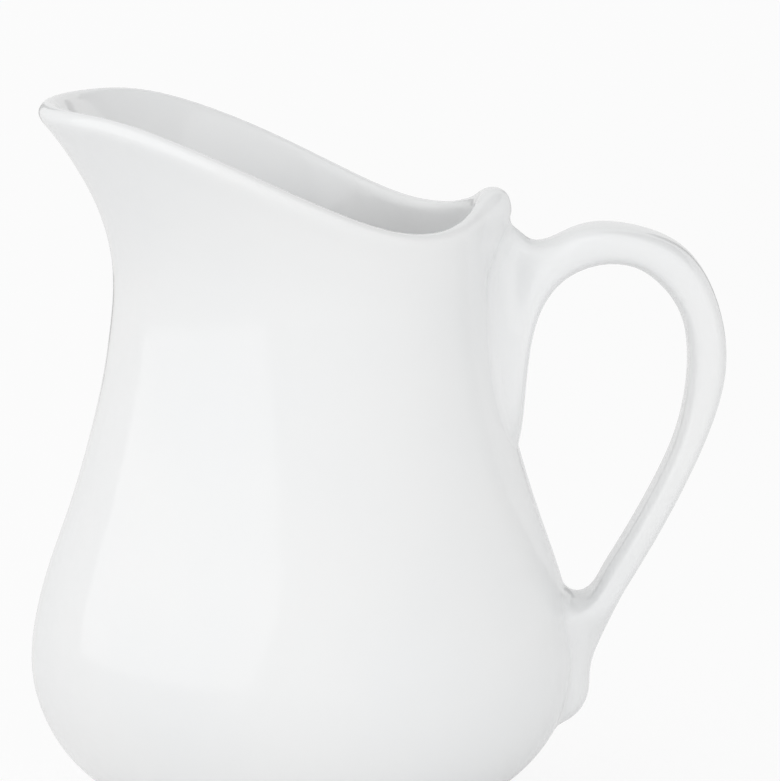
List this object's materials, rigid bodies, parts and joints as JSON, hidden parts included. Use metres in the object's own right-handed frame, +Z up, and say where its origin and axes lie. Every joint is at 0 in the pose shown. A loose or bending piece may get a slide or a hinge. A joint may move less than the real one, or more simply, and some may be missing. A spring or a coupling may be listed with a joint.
{
  "type": "porcelain milk jug",
  "caption": "Small round-bellied white porcelain milk jug with a flared spout, a thumb rest and a loop handle, in one glazed piece.",
  "frame": {"origin": "on the surface the jug stands on, under the middle of its whole length from belly to handle", "axes": "+Z up, +X from the spout towards the handle, Y across; the XZ plane is the plane of symmetry"},
  "size_m": [0.1044, 0.082, 0.1079],
  "materials": {
    "porcelain": "smooth clear glaze over white porcelain, unglazed under the foot ring"
  },
  "bodies": {
    "root": {"jug": "porcelain"}
  },
  "joints": []
}
